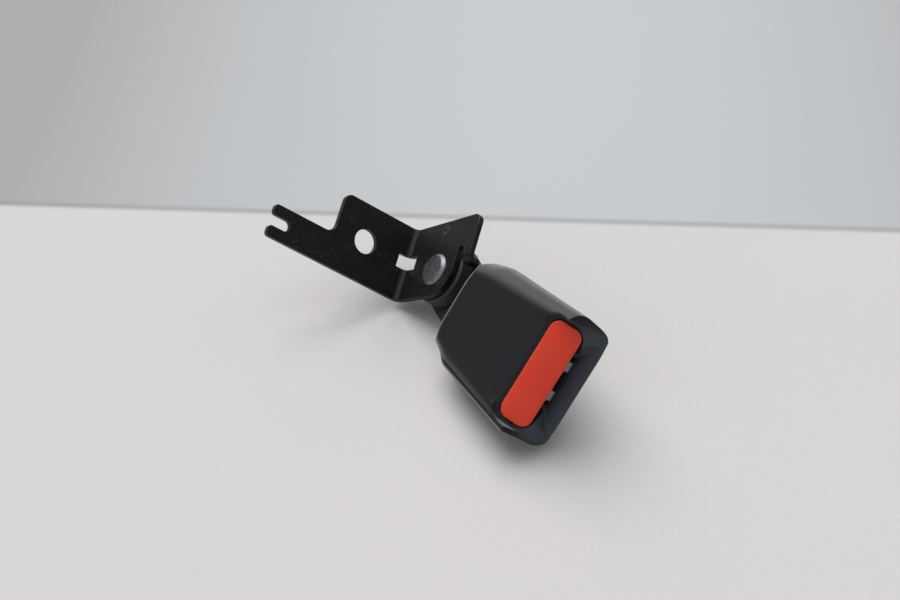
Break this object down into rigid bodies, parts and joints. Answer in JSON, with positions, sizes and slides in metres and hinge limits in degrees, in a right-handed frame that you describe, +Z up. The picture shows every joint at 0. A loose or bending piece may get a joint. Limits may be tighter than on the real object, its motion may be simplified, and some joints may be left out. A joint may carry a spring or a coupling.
{
  "type": "seat belt buckle",
  "caption": "Seat belt buckle with a red release button, on a strap pivoted to an angled black anchor bracket with a bolt hole and a fork.",
  "frame": {"origin": "centre of the anchor bolt hole, on the bracket plate's inner face", "axes": "+Z up with the buckle lying as set down; +X along the buckle towards its tongue slot, level; +Y to the left of that, away from the bolt plate fork"},
  "size_m": [0.1398, 0.0884, 0.0537],
  "materials": {
    "bracket_paint": "semi-gloss black coating",
    "rivet_steel": "dark blued steel",
    "washer_steel": "plain steel",
    "spacer_plastic": "dark moulded plastic",
    "strap_steel": "black coated steel",
    "housing_plastic": "fine grained charcoal plastic",
    "frame_steel": "zinc plated steel",
    "spring_steel": "spring wire",
    "ejector_plastic": "pale grey-green plastic",
    "button_plastic": "satin red-orange plastic"
  },
  "bodies": {
    "anchor": {"mounting_bracket": "bracket_paint", "pivot_rivet": "rivet_steel", "spring_washer": "washer_steel", "pivot_spacer": "spacer_plastic", "tail_washer": "washer_steel"},
    "buckle": {"buckle_strap": "strap_steel", "pivot_bush": "washer_steel", "frame_lower_plate": "frame_steel", "frame_upper_plate": "frame_steel", "frame_rivets": "frame_steel", "upper_cover": "housing_plastic", "lower_cover": "housing_plastic", "latch_pin": "frame_steel", "ejector_spring": "spring_steel", "button_springs": "spring_steel", "cover_screws": "washer_steel"},
    "button": {"release_button": "button_plastic"},
    "latch": {"latch_plate": "frame_steel", "latch_spring": "spring_steel"},
    "ejector_body": {"ejector": "ejector_plastic"}
  },
  "joints": [
    {"name": "buckle_pivot", "type": "hinge", "parent": "anchor", "child": "buckle", "pos_m": [0.03077, 0.02621, -0.01264], "axis": [-0.2759, -0.6766, 0.6827], "range_deg": [-35, 30]},
    {"name": "button_press", "type": "slide", "parent": "buckle", "child": "button", "axis": [-0.4653, 0.6167, -0.635], "range_m": [0, 0.004], "stiffness_N_per_m": 600, "springref_m": -0.006},
    {"name": "latch_rock", "type": "hinge", "parent": "buckle", "child": "latch", "pos_m": [0.08376, 0.0184, -0.00098], "axis": [0.1039, -0.6743, -0.7311], "range_deg": [0, 13.9]},
    {"name": "ejector_slide", "type": "slide", "parent": "buckle", "child": "ejector_body", "axis": [-0.992, -0.0177, -0.1247], "range_m": [0, 0.018], "stiffness_N_per_m": 250, "springref_m": -0.02}
  ],
  "couplings": [
    {"joint": "latch_rock", "follows": "button_press", "rad_per_m": 60.65}
  ]
}
